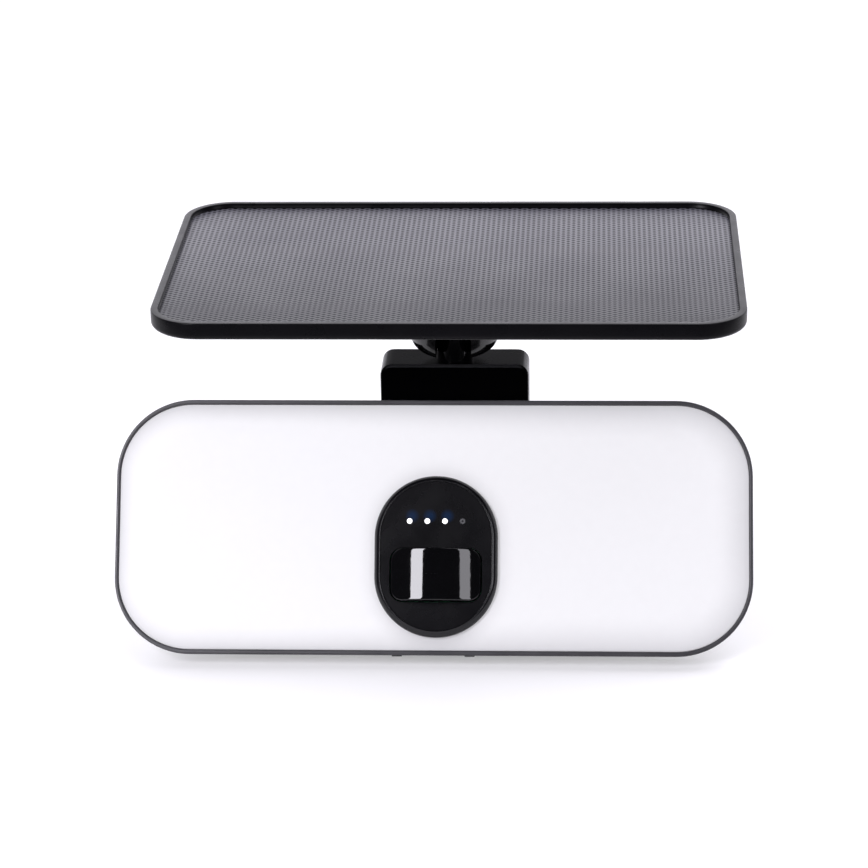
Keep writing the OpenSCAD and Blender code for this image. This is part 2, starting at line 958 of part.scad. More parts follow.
module pod_housing() {
    color([0.05, 0.05, 0.055])
    in_pod()
    translate([0, 0, pod_z])
    difference() {
        union() {
            upright(pod_front + 1.2, diffuser_front - 0.5)
                stadium(pod_w, pod_h);
            hull() {
                upright(pod_front + 1.2, pod_front + 1.3)
                    stadium(pod_w, pod_h);
                upright(pod_front, pod_front + 0.1)
                    stadium(pod_w - 2.6, pod_h - 2.6);
            }
            upright(diffuser_front - 0.6, pod_deep)
                stadium(pod_body_w, pod_body_h);
        }
        upright(pod_front - 1, face_front + face_t)
            stadium(pod_w - 2 * pod_lip, pod_h - 2 * pod_lip);
        upright(pod_front - 1, pod_deep + 1)
            stadium(pod_body_w - 2 * pod_body_wall, pod_body_h - 2 * pod_body_wall);
    }
    color([0.05, 0.05, 0.055])
    in_pod()
    for (z = [-1, 1])
        translate([0, 0, pod_z + z * pod_post_z])
            difference() {
                upright(sensor_board_y - 3, sensor_board_y)
                    square([pod_post_w, pod_post_w + 0.8], center = true);
                rod_y(small_r + fit, sensor_board_y - 4, sensor_board_y + 1);
            }
}

module pod_seal() {
    color([0.12, 0.12, 0.12])
    in_pod()
    translate([0, 0, pod_z])
        upright(diffuser_front - 0.5, diffuser_front)
            difference() {
                stadium(pod_w - 1.2, pod_h - 1.2);
                stadium(pod_body_w + 0.1, pod_body_h + 0.1);
            }
}

module pod_face() {
    color([0.1, 0.1, 0.105])
    in_pod()
    upright(face_front, face_front + face_t)
        difference() {
            translate([0, pod_z])
                stadium(pod_w - 2 * pod_lip - 0.2, pod_h - 2 * pod_lip - 0.2);
            translate([0, window_z])
                rounded(window_w + 2 * window_gap, window_h + 2 * window_gap, window_r + window_gap);
            for (i = [-1.5:1:1.5])
                translate([i * dot_pitch, dot_z])
                    circle(dot_r + fit);
        }
}

// Light pipe for one indicator dot, counted from the left
module light_pipe(i) {
    in_pod() {
        rod_y(dot_r, face_front - 0.1, face_front + face_t, (i - 1.5) * dot_pitch, dot_z);
        rod_y(dot_r + 0.7, face_front + face_t, sensor_board_y - 0.8, (i - 1.5) * dot_pitch, dot_z);
    }
}

module lit_indicators() {
    color("white")
    for (i = [0:2])
        light_pipe(i);
}

module unlit_indicator() {
    color([0.3, 0.3, 0.32])
    light_pipe(3);
}

module sensor_window() {
    skin = 1.5;
    centre_y = face_front - window_bulge + window_curve;
    color([0.02, 0.02, 0.025])
    in_pod()
    translate([0, 0, window_z])
    difference() {
        union() {
            intersection() {
                upright(face_front - window_bulge - 1, face_front + face_t)
                    rounded(window_w, window_h, window_r);
                translate([0, centre_y, 0])
                    cylinder(r = window_curve, h = 2 * window_h, center = true, $fn = 128);
            }
            upright(face_front + face_t, face_front + face_t + 1)
                rounded(window_w + 3, window_h + 3, window_r + 1);
        }
        intersection() {
            upright(face_front - window_bulge - 1, face_front + face_t + 2)
                rounded(window_w - 2 * skin, window_h - 2 * skin, window_r - skin);
            translate([0, centre_y, 0])
                cylinder(r = window_curve - skin, h = 2 * window_h, center = true, $fn = 128);
        }
    }
}

module motion_sensor() {
    color("silver")
    in_pod() {
        rod_y(4.1, -3.6, sensor_board_y - 0.6, 0, window_z);
        rod_y(4.6, sensor_board_y - 0.6, sensor_board_y, 0, window_z);
    }
}

module sensor_board() {
    color("darkgreen")
    in_pod()
    translate([0, 0, pod_z])
        upright(sensor_board_y, sensor_board_y + sensor_board_t)
            difference() {
                stadium(pod_body_w - 2 * pod_body_wall - 1, pod_body_h - 2 * pod_body_wall - 1);
                for (z = [-1, 1])
                    translate([0, z * pod_post_z])
                        circle(small_r + fit);
            }
}

module indicator_leds() {
    color([0.6, 0.75, 1])
    in_pod()
    for (i = [-1.5:1:1.5])
        translate([i * dot_pitch, sensor_board_y - 0.4, dot_z])
            cube([1.6, 0.7, 1.2], center = true);
}

module sensor_screws() {
    color("silver")
    in_pod()
    for (z = [-1, 1])
        translate([0, 0, pod_z + z * pod_post_z])
            from_back(sensor_board_y + sensor_board_t + small_head_t)
                screw(small_head_r, small_head_t, small_r, 5);
}

// ---- Battery bay ----

module control_board() {
    color("darkgreen")
    in_lamp()
    translate([control_x, 0, 0])
        upright(control_y, control_y + control_t)
            difference() {
                rounded(control_w, control_h, 2);
                for (x = [-1, 1], z = [-1, 1])
                    translate([x * control_fix_x, z * control_fix_z])
                        circle(small_r + fit);
            }
}

module board_parts() {
    top = control_y + control_t;
    color([0.15, 0.15, 0.16])
    in_lamp()
    translate([control_x, top, 0]) {
        rod_y(4, 0, 9, -16, 8);
        rod_y(4, 0, 9, -6, 8);
        translate([-14, 0, -14])
            cube([10, 1.4, 10]);
        translate([2, 0, -15])
            cube([12, 6, 12]);
        translate([4, 0, 2])
            cube([7, 1, 7]);
        translate([16, 0, -4])
            cube([6, 8, 14]);
    }
}

module control_screws() {
    color("silver")
    in_lamp()
    for (x = [-1, 1], z = [-1, 1])
        translate([control_x + x * control_fix_x, control_y - small_head_t, z * control_fix_z])
            rotate([90, 0, 0])
                screw(small_head_r, small_head_t, small_r, 8);
}

module battery_cradle() {
    inside = cell_len + 1;
    color([0.12, 0.12, 0.13])
    in_lamp()
    translate([cell_x, 0, 0])
    difference() {
        translate([0, 18.8, 0])
            cube([72, 16.4, 41], center = true);
        for (z = [-1, 1])
            rod_x(cell_r + 0.15, -inside / 2, inside / 2, cell_y, z * cell_z);
        translate([-inside / 2, cell_y, -cell_z - cell_r - 0.15])
            cube([inside, 20, 2 * (cell_z + cell_r + 0.15)]);
    }
}

module battery_cells() {
    color("steelblue")
    in_lamp()
    for (z = [-1, 1])
        rod_x(cell_r, cell_x - cell_len / 2, cell_x + cell_len / 2, cell_y, z * cell_z);
}

module battery_contacts() {
    color("goldenrod")
    in_lamp()
    for (side = [-1, 1], z = [-1, 1])
        translate([cell_x + side * (cell_len / 2 + 0.25), cell_y, z * cell_z])
            cube([0.4, 8, 10], center = true);
}

// ---- Push-buttons under the lamp ----

module button_switches() {
    color("gray")
    in_lamp()
    for (side = [-1, 1])
        translate([side * button_x, button_y - 0.1, tray_wall_z + 1.1 + button_travel + 0.3 + 2])
            cube([6, 2.4, 4], center = true);
}

// One button in its guide, with its tip below the lamp and a collar inside that stops it falling out
module push_button(side) {
    in_lamp()
    translate([side * button_x, button_y, 0]) {
        translate([0, button_d / 2, 0])
            rotate([90, 0, 0])
                linear_extrude(button_d)
                    polygon([
                        [-button_tip_w / 2, button_tip_z], [button_tip_w / 2, button_tip_z],
                        [button_w / 2, button_tip_z + 1.4], [button_w / 2, tray_wall_z + 0.1],
                        [-button_w / 2, tray_wall_z + 0.1], [-button_w / 2, button_tip_z + 1.4]
                    ]);
        translate([0, 0, tray_wall_z + 0.6])
            cube([button_w + 2.4, button_d, 1], center = true);
    }
}

module power_button() {
    color([0.2, 0.2, 0.21])
    push_button(-1);
}

module mode_button() {
    color([0.2, 0.2, 0.21])
    push_button(1);
}

wall_plate();
base_screws();
bracket_arm();
arm_screws();
bracket_body();
neck_bush();
pan_bolt();
pan_nut();
neck_stem();
neck_washer();
neck_nut();
neck_cup();
cup_screws();
panel_bolt();
panel_nut();
panel_washers();
panel_frame();
solar_backsheet();
solar_cells();
solar_film();
pan_knuckle();
tilt_bolt();
tilt_nut();
tilt_washers();
rear_housing();
battery_cover();
cover_seal();
cover_screws();
front_bezel();
housing_gasket();
housing_screws();
diffuser();
reflector();
led_board();
leds();
board_screws();
pod_housing();
pod_seal();
pod_face();
lit_indicators();
unlit_indicator();
sensor_window();
motion_sensor();
sensor_board();
indicator_leds();
sensor_screws();
control_board();
board_parts();
control_screws();
battery_cradle();
battery_cells();
battery_contacts();
button_switches();
power_button();
mode_button();
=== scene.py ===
"""Looks of the solar floodlight: studio, camera, procedural materials and the finer visible shells."""
import json
import math

import bpy
import numpy as np
from mathutils import Matrix, Vector


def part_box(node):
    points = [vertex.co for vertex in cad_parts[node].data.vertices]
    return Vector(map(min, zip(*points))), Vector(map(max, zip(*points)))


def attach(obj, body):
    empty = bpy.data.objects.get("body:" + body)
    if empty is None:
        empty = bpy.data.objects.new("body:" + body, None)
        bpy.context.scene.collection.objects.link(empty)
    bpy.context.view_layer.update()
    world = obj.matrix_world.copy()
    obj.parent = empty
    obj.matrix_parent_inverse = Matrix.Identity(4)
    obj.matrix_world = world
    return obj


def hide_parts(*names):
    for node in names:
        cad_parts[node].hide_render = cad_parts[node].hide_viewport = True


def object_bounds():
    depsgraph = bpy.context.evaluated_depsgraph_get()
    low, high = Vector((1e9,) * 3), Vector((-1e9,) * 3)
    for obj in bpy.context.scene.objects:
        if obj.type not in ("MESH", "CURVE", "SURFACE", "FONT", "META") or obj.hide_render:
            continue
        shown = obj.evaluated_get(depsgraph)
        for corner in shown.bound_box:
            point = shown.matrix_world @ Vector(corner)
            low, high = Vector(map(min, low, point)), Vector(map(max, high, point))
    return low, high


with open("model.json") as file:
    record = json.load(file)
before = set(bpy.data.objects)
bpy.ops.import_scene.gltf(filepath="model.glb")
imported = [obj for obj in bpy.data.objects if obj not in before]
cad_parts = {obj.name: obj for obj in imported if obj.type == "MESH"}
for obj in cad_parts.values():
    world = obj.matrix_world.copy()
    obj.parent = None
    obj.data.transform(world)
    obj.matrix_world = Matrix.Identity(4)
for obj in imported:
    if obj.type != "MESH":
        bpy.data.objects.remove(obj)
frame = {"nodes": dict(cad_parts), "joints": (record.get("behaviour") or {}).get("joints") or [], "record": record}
cad_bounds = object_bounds()
MM = 0.001
# Strengths of what glows, and how bright the room is in front of and behind the object
LIT_GLOW = 1.15
OPAL_GLOW = 0.53
# OPAL_EDGE_GLOW is the diffuser's dimmer glow under painted shade at its edges
OPAL_EDGE_GLOW = 0.02
# Strength of the floor's painted pool of light
FLOOR_LIGHT_POOL = 0.34
ROOM_FRONT = 0.03
ROOM_BACK = 2.2
STUDIO_WHITE = (0.99, 0.975, 1.045)
# Camera: angles in degrees, distances in metres, lens and sensor in millimetres.
# It aims at the neck at the height of the block's top, moved by the last two values
CAMERA_AZIMUTH = 3.07
CAMERA_ELEVATION = 22.08
CAMERA_ROLL = -1.0
CAMERA_DISTANCE = 1.3327
CAMERA_LENS = 136.04
SENSOR_WIDTH = 36
AIM_ACROSS = -0.00911
AIM_UP = -0.0311

# ---------------------------------------------------------------- the lamp's own frame
# From here to the studio, sizes typed here are in millimetres, and those read from the frame in metres
JOINTS = {joint["name"]: joint for joint in frame["joints"]}
LAMP_UP = Vector(JOINTS["power_press"]["axis"]).normalized()
LAMP_IN = Vector((0, LAMP_UP.z, -LAMP_UP.y))
PIVOT = Vector(JOINTS["lamp_tilt"]["pos_m"])
NECK = Vector(JOINTS["panel_swivel"]["pos_m"])
BEZEL_LOW, BEZEL_HIGH = (Vector(corner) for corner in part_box("front_bezel"))
LAMP_X = (BEZEL_LOW.x + BEZEL_HIGH.x) / 2
FACE_TO_PIVOT = 44
FACE = Vector((LAMP_X, PIVOT.y, PIVOT.z)) - LAMP_IN * (FACE_TO_PIVOT * MM)
POD_X = ((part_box("pod_housing")[0].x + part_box("pod_housing")[1].x) / 2 - LAMP_X) / MM
POD_Z = -11.8
POD_FACE_Y = -4.0
DOT_PITCH = 6.9
DOT_UP = 13.7
PANEL_LOW, PANEL_HIGH = (Vector(corner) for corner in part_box("panel_frame"))
PANEL_MID = (PANEL_LOW + PANEL_HIGH) / 2


def lamp_point(x, y, z):
    """A point in the row frame from millimetres right, into and up the lamp's face."""
    return FACE + Vector((x * MM, 0, 0)) + LAMP_IN * (y * MM) + LAMP_UP * (z * MM)


# ---------------------------------------------------------------- outlines and lofts
def rounded_outline(width, height, radius, count=24, along=0, up=0):
    """Points round a rounded rectangle, with the same number whatever its size.

    along and up are the numbers of extra points on each flat and each upright side."""
    points = []
    for cx, cy, start, extra in ((1, 1, 0, along), (-1, 1, 90, up), (-1, -1, 180, along), (1, -1, 270, up)):
        for step in range(count + 1):
            angle = math.radians(start + 90 * step / count)
            points.append((cx * (width / 2 - radius) + radius * math.cos(angle),
                           cy * (height / 2 - radius) + radius * math.sin(angle)))
        side_x, side_y = {0: (-1, 0), 90: (0, -1), 180: (1, 0), 270: (0, 1)}[start]
        length = (width if side_x else height) - 2 * radius
        last_x, last_y = points[-1]
        for k in range(1, extra + 1):
            part = length * k / (extra + 1)
            points.append((last_x + side_x * part, last_y + side_y * part))
    return points


def make_mesh(name, points, faces, material, body, replaced):
    """A smooth mesh piece that rides on a body and stands for the named CAD nodes."""
    mesh = bpy.data.meshes.new(name)
    mesh.from_pydata([tuple(p) for p in points], [], faces)
    mesh.update()
    mesh.shade_smooth()
    piece = bpy.data.objects.new(name, mesh)
    bpy.context.collection.objects.link(piece)
    mesh.materials.append(material)
    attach(piece, body)
    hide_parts(*replaced)
    return piece


def set_values(piece, name, values):
    """One number for each point of a piece, which its material can read by name."""
    attribute = piece.data.attributes.new(name, "FLOAT", "POINT")
    attribute.data.foreach_set("value", values)


def loft(loops, closed=False, cap_first=False, cap_last=False):
    """Points and faces through loops that all have the same number of points."""
    size = len(loops[0])
    points = [point for loop in loops for point in loop]
    faces = []
    spans = len(loops) if closed else len(loops) - 1
    for span in range(spans):
        here = span * size
        there = (span + 1) % len(loops) * size
        for i in range(size):
            j = (i + 1) % size
            faces.append((here + i, here + j, there + j, there + i))
    if cap_first:
        faces.append(tuple(reversed(range(size))))
    if cap_last:
        faces.append(tuple(range((len(loops) - 1) * size, len(loops) * size)))
    return points, faces


def arc(radius, start, stop, count):
    """Points (a, b) of an arc round (0, 0) in a profile, angles in degrees."""
    angles = [math.radians(start + (stop - start) * k / count) for k in range(count + 1)]
    return [(radius * math.cos(angle), radius * math.sin(angle)) for angle in angles]


# ---------------------------------------------------------------- materials
# Height of a moulded surface's grain, in metres
GRAIN_DEPTH = 0.00003


def new_material(name):
    """An empty node material with its Principled shader and a texture coordinate."""
    material = bpy.data.materials.new(name)
    material.use_nodes = True
    tree = material.node_tree
    shader = tree.nodes["Principled BSDF"]
    coords = tree.nodes.new("ShaderNodeTexCoord")
    return material, tree, shader, coords


def noise(tree, coords, scale, detail=3.0):
    """A noise texture fixed to the object."""
    node = tree.nodes.new("ShaderNodeTexNoise")
    node.inputs["Scale"].default_value = scale
    node.inputs["Detail"].default_value = detail
    tree.links.new(coords.outputs["Object"], node.inputs["Vector"])
    return node


def spread(tree, source, low, high, from_low=0.3, from_high=0.7):
    """A value moved from one range to another."""
    node = tree.nodes.new("ShaderNodeMapRange")
    node.inputs["From Min"].default_value = from_low
    node.inputs["From Max"].default_value = from_high
    node.inputs["To Min"].default_value = low
    node.inputs["To Max"].default_value = high
    tree.links.new(source, node.inputs["Value"])
    return node.outputs["Result"]


def tint(tree, source, dark, light, shader):
    """Colours the shader between two colours by a value."""
    ramp = tree.nodes.new("ShaderNodeValToRGB")
    ramp.color_ramp.elements[0].position = 0.3
    ramp.color_ramp.elements[1].position = 0.7
    ramp.color_ramp.elements[0].color = (*dark, 1)
    ramp.color_ramp.elements[1].color = (*light, 1)
    tree.links.new(source, ramp.inputs["Fac"])
    tree.links.new(ramp.outputs["Color"], shader.inputs["Base Color"])


def shade_towards(tree, factor, second, shader):
    """Mixes what colours the shader with a second colour, as the factor rises from 0 to 1."""
    mix = tree.nodes.new("ShaderNodeMix")
    mix.data_type = "RGBA"
    mix.inputs["B"].default_value = (*second, 1)
    tree.links.new(factor, mix.inputs["Factor"])
    tree.links.new(shader.inputs["Base Color"].links[0].from_socket, mix.inputs["A"])
    tree.links.new(mix.outputs["Result"], shader.inputs["Base Color"])


def bump(tree, source, shader, strength, distance=GRAIN_DEPTH):
    """Raises the shader's surface a little, in metres, by a value."""
    node = tree.nodes.new("ShaderNodeBump")
    node.inputs["Strength"].default_value = strength
    node.inputs["Distance"].default_value = distance
    tree.links.new(source, node.inputs["Height"])
    tree.links.new(node.outputs["Normal"], shader.inputs["Normal"])


def surface(name, colour, rough, vary=0.06, grain=1800, strength=0.25, metallic=0.0, specular=0.5,
            shade=0.12):
    """A moulded or metal surface: slight tone changes, patchy gloss and a fine grain."""
    material, tree, shader, coords = new_material(name)
    shader.inputs["Metallic"].default_value = metallic
    shader.inputs["Specular IOR Level"].default_value = specular
    patches = noise(tree, coords, 35)
    dark = [c * (1 - shade) for c in colour]
    light = [c * (1 + shade) for c in colour]
    tint(tree, patches.outputs["Fac"], dark, light, shader)
    smears = noise(tree, coords, 90, 5)
    gloss = spread(tree, smears.outputs["Fac"], rough - vary, rough + vary)
    tree.links.new(gloss, shader.inputs["Roughness"])
    fine = noise(tree, coords, grain, 2)
    bump(tree, fine.outputs["Fac"], shader, strength)
    return material


def reopened(material):
    """The node tree and Principled shader of a material, and a new texture coordinate in it."""
    tree = material.node_tree
    return tree, tree.nodes["Principled BSDF"], tree.nodes.new("ShaderNodeTexCoord")


MAT = {name: surface(name, colour, rough, **more) for name, colour, rough, more in (
    ("black_plastic", (0.0025, 0.0024, 0.0032), 0.3, {"strength": 0.15, "specular": 0.095}),
    ("gloss_black", (0.0025, 0.0025, 0.003), 0.14, {"vary": 0.04, "strength": 0.06}),
    ("window_gloss", (0.002, 0.002, 0.0025), 0.05, {"vary": 0.02, "strength": 0.02}),
    ("bezel_grey", (0.036, 0.035, 0.039), 0.38, {"strength": 0.15}),
    ("pod_plastic", (0.004, 0.0039, 0.005), 0.17, {"vary": 0.04, "strength": 0.1, "specular": 0.36}),
    ("white_plastic", (0.85, 0.85, 0.84), 0.5, {"shade": 0.03}),
    ("steel", (0.58, 0.58, 0.6), 0.32, {"metallic": 1.0, "grain": 900, "shade": 0.08}),
    ("dark_steel", (0.06, 0.06, 0.065), 0.35, {"metallic": 1.0, "grain": 900}),
    ("brass", (0.75, 0.55, 0.25), 0.28, {"metallic": 1.0, "grain": 900}),
    ("rear_plastic", (0.011, 0.011, 0.0125), 0.36, {"grain": 1300, "strength": 0.3, "specular": 0.4}),
    ("matt_black", (0.004, 0.004, 0.005), 0.8, {"specular": 0.0}),
    ("zinc", (0.3, 0.3, 0.31), 0.45, {"vary": 0.1, "grain": 700, "metallic": 1.0, "shade": 0.2}),
    ("rubber", (0.02, 0.02, 0.021), 0.68, {"grain": 1200}),
    ("aluminium", (0.8, 0.8, 0.8), 0.4, {"shade": 0.03}),
    ("board", (0.01, 0.12, 0.05), 0.35, {}),
    ("led", (0.9, 0.8, 0.35), 0.3, {}),
    ("cell", (0.01, 0.015, 0.04), 0.2, {}),
    ("cell_wrap", (0.03, 0.16, 0.4), 0.3, {}),
)}


def film_material():
    """Dimpled plastic film over dark cells: grey, semi-gloss, painted shade in its hollows and towards the front.
    """
    material, tree, shader, coords = new_material("solar_film")
    drift = noise(tree, coords, 45, 4)
    tint(tree, drift.outputs["Fac"], (0.096, 0.095, 0.113), (0.118, 0.116, 0.132), shader)
    split = tree.nodes.new("ShaderNodeSeparateXYZ")
    tree.links.new(coords.outputs["Object"], split.inputs["Vector"])
    # Painted shade: the film's colour darkens towards its front edge
    painted_front_shade = spread(tree, split.outputs["Y"], 0.0, 1.0, PANEL_MID.y + 50 * MM, PANEL_LOW.y)
    shade_towards(tree, painted_front_shade, (0.006, 0.006, 0.009), shader)
    # Painted shade: the film's colour darkens in the hollows of its dimples
    hollow = tree.nodes.new("ShaderNodeAttribute")
    hollow.attribute_name = "hollow"
    painted_hollow_shade = spread(tree, hollow.outputs["Fac"], 0.0, 1.0, 0.1, 0.6)
    shade_towards(tree, painted_hollow_shade, (0.012, 0.012, 0.016), shader)
    shader.inputs["Specular IOR Level"].default_value = 0.135
    smears = noise(tree, coords, 25, 4)
    tree.links.new(spread(tree, smears.outputs["Fac"], 0.3, 0.38), shader.inputs["Roughness"])
    fine = noise(tree, coords, 2500, 2)
    bump(tree, fine.outputs["Fac"], shader, 0.15)
    return material


def opal_material():
    """Lit opal plastic whose glow, with its painted shade, comes from the cover's own attribute."""
    material, tree, shader, coords = new_material("opal")
    glow = tree.nodes.new("ShaderNodeAttribute")
    glow.attribute_name = "glow"
    mottled = noise(tree, coords, 260, 5)
    tint(tree, mottled.outputs["Fac"], (0.345, 0.343, 0.352), (0.355, 0.353, 0.362), shader)
    shader.inputs["Roughness"].default_value = 0.5
    shader.inputs["Emission Color"].default_value = (0.985, 0.975, 1.0, 1)
    tree.links.new(spread(tree, glow.outputs["Fac"], OPAL_EDGE_GLOW, OPAL_GLOW, 0.4, 1.0),
                   shader.inputs["Emission Strength"])
    fine = noise(tree, coords, 900, 2)
    bump(tree, fine.outputs["Fac"], shader, 0.12, 0.00004)
    return material


def distance_from(tree, coords, point):
    """Distance of the shaded point from a point in the row frame, at rest."""
    away = tree.nodes.new("ShaderNodeVectorMath")
    away.operation = "DISTANCE"
    away.inputs[1].default_value = point
    tree.links.new(coords.outputs["Object"], away.inputs[0])
    return away.outputs["Value"]


LIT_DOTS = (0, 1, 2)
UNLIT_DOT = 3


def dot_place(index):
    """Middle of one indicator dot on the pod's face, counted from the left."""
    return lamp_point(POD_X + (index - 1.5) * DOT_PITCH, POD_FACE_Y, POD_Z + DOT_UP)


def near_dots(tree, coords, dots, height, inner, outer):
    """A value that is the given height near each dot and falls to zero between two distances."""
    total = None
    for dot in dots:
        near = spread(tree, distance_from(tree, coords, dot), height, 0.0, inner, outer)
        if total is None:
            total = near
        else:
            add = tree.nodes.new("ShaderNodeMath")
            add.operation = "ADD"
            tree.links.new(total, add.inputs[0])
            tree.links.new(near, add.inputs[1])
            total = add.outputs["Value"]
    return total


def face_material():
    """Pod face: satin black with a painted deep blue glow up and to the right of each lit dot."""
    material = surface("face_plastic", (0.0028, 0.0027, 0.0036), 0.27, vary=0.03, strength=0.1, specular=0.23)
    tree, shader, coords = reopened(material)
    painted_halo_offset = Vector((1.0 * MM, 0, 0)) + LAMP_UP * (2.0 * MM)
    centres = [dot_place(index) + painted_halo_offset for index in LIT_DOTS]
    # Painted light: a deep blue halo glows on the face plate beside each lit dot
    glow = near_dots(tree, coords, centres, 1.0, 0.9 * MM, 2.9 * MM)
    shader.inputs["Emission Color"].default_value = (0.0, 0.012, 0.045, 1)
    tree.links.new(glow, shader.inputs["Emission Strength"])
    return material


def unlit_material():
    """Unlit light pipe: smoky plastic with a paler ring round a dark middle."""
    material, tree, shader, coords = new_material("unlit")
    away = distance_from(tree, coords, dot_place(UNLIT_DOT))
    rise = spread(tree, away, 0.0, 1.0, 0.3 * MM, 0.6 * MM)
    fall = spread(tree, away, 1.0, 0.0, 0.8 * MM, 1.15 * MM)
    ring = tree.nodes.new("ShaderNodeMath")
    ring.operation = "MULTIPLY"
    tree.links.new(rise, ring.inputs[0])
    tree.links.new(fall, ring.inputs[1])
    tint(tree, ring.outputs["Value"], (0.02, 0.02, 0.022), (0.1, 0.1, 0.105), shader)
    grain = noise(tree, coords, 700, 2)
    tree.links.new(spread(tree, grain.outputs["Fac"], 0.22, 0.32), shader.inputs["Roughness"])
    bump(tree, grain.outputs["Fac"], shader, 0.05, 0.00002)
    return material


def block_material():
    """Near-black plastic: hardly any gloss on top and in front, satin elsewhere, a painted highlight on the top
    front edge.
    """
    dull = 0.0045
    material = surface("block_plastic", (0.0012, 0.0012, 0.0015), 0.26, strength=0.12, specular=dull)
    tree, shader, coords = reopened(material)
    # 1 where the surface faces up and forward at 45 degrees, 0.7 on top and in front, 0 or less elsewhere
    facing = tree.nodes.new("ShaderNodeVectorMath")
    facing.operation = "DOT_PRODUCT"
    facing.inputs[1].default_value = (0, -math.sqrt(0.5), math.sqrt(0.5))
    tree.links.new(coords.outputs["Normal"], facing.inputs[0])
    gloss = spread(tree, facing.outputs["Value"], 0.14, dull, 0.1, 0.6)
    tree.links.new(gloss, shader.inputs["Specular IOR Level"])
    # Painted highlight: the colour turns paler along the edge between the top and the front
    painted_edge_highlight = spread(tree, facing.outputs["Value"], 0.0, 1.0, 0.86, 0.96)
    shade_towards(tree, painted_edge_highlight, (0.05, 0.05, 0.054), shader)
    return material


def light_material():
    """Lit light pipes: white in the middle, with a thin dark edge."""
    material, tree, shader, coords = new_material("lit")
    centres = [dot_place(index) for index in LIT_DOTS]
    glow = near_dots(tree, coords, centres, LIT_GLOW, 0.95 * MM, 1.15 * MM)
    tint(tree, glow, (0.02, 0.02, 0.022), (0.9, 0.9, 0.9), shader)
    grain = noise(tree, coords, 700, 2)
    tree.links.new(spread(tree, grain.outputs["Fac"], 0.2, 0.3), shader.inputs["Roughness"])
    shader.inputs["Emission Color"].default_value = (1.0, 1.0, 1.0, 1)
    tree.links.new(glow, shader.inputs["Emission Strength"])
    bump(tree, grain.outputs["Fac"], shader, 0.05, 0.00002)
    return material


MAT["solar_film"] = film_material()
MAT["opal"] = opal_material()
MAT["face_plastic"] = face_material()
MAT["block_plastic"] = block_material()
MAT["lit"] = light_material()
MAT["unlit"] = unlit_material()

NODE_LOOK = {"bracket_body": "block_plastic", "bracket_arm": "rear_plastic", "sensor_window": "window_gloss",
             "pod_housing": "pod_plastic", "pod_face": "face_plastic", "rear_housing": "rear_plastic",
             "battery_cover": "rear_plastic", "pan_knuckle": "rear_plastic", "wall_plate": "zinc"}
for row in frame["record"]["subparts"]:
    node = frame["nodes"][row["node"]]
    look = NODE_LOOK.get(row["node"], row["material_slot"])
    node.data.materials.clear()
    node.data.materials.append(MAT[look])

# ---------------------------------------------------------------- solar panel
PANEL_W = (PANEL_HIGH.x - PANEL_LOW.x) / MM
PANEL_D = (PANEL_HIGH.y - PANEL_LOW.y) / MM
PANEL_T = (PANEL_HIGH.z - PANEL_LOW.z) / MM
PANEL_R = 19.7
RIM = 2.8
# Radii of the frame's lower edge, its top's outer and inner edges, and how far its floor is drawn in
ROLL_R = 2.2
OUTER_R = 0.45
INNER_R = 0.25
TRAY_INSET = 40
FILM_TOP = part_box("solar_film")[1][2]
FILM_SINK = 0.6
DIMPLE_PITCH = 2.4
DIMPLE_DEPTH = 0.22
FILM_STEP = 0.42


def panel_loop(inset, up):
    """Loop round the panel, drawn in by inset, at a height above its underside, in millimetres."""
    outline = rounded_outline(PANEL_W - 2 * inset, PANEL_D - 2 * inset, max(PANEL_R - inset, 0.5))
    return [(PANEL_MID.x + x * MM, PANEL_MID.y + y * MM, PANEL_LOW.z + up * MM) for x, y in outline]


def build_panel_frame():
    """Tray with a rolled lower edge, a flat rim with soft corners and a floor for the film."""
    film_up = (FILM_TOP - PANEL_LOW.z) / MM - FILM_SINK
    profile = [(TRAY_INSET, 0), (8, 0)]
    profile += [(ROLL_R - a, ROLL_R - b) for a, b in arc(ROLL_R, 90, 0, 8)]
    profile += [(OUTER_R - a, PANEL_T - OUTER_R + b) for a, b in arc(OUTER_R, 0, 90, 5)]
    profile += [(RIM - INNER_R + a, PANEL_T - INNER_R + b) for a, b in arc(INNER_R, 90, 0, 4)]
    profile += [(RIM, film_up - 0.6), (TRAY_INSET, film_up - 0.9)]
    loops = [panel_loop(inset, up) for inset, up in profile]
    points, faces = loft(loops, cap_first=True, cap_last=True)
    make_mesh("panel_shell", points, faces, MAT["black_plastic"], "panel", ["panel_frame"])


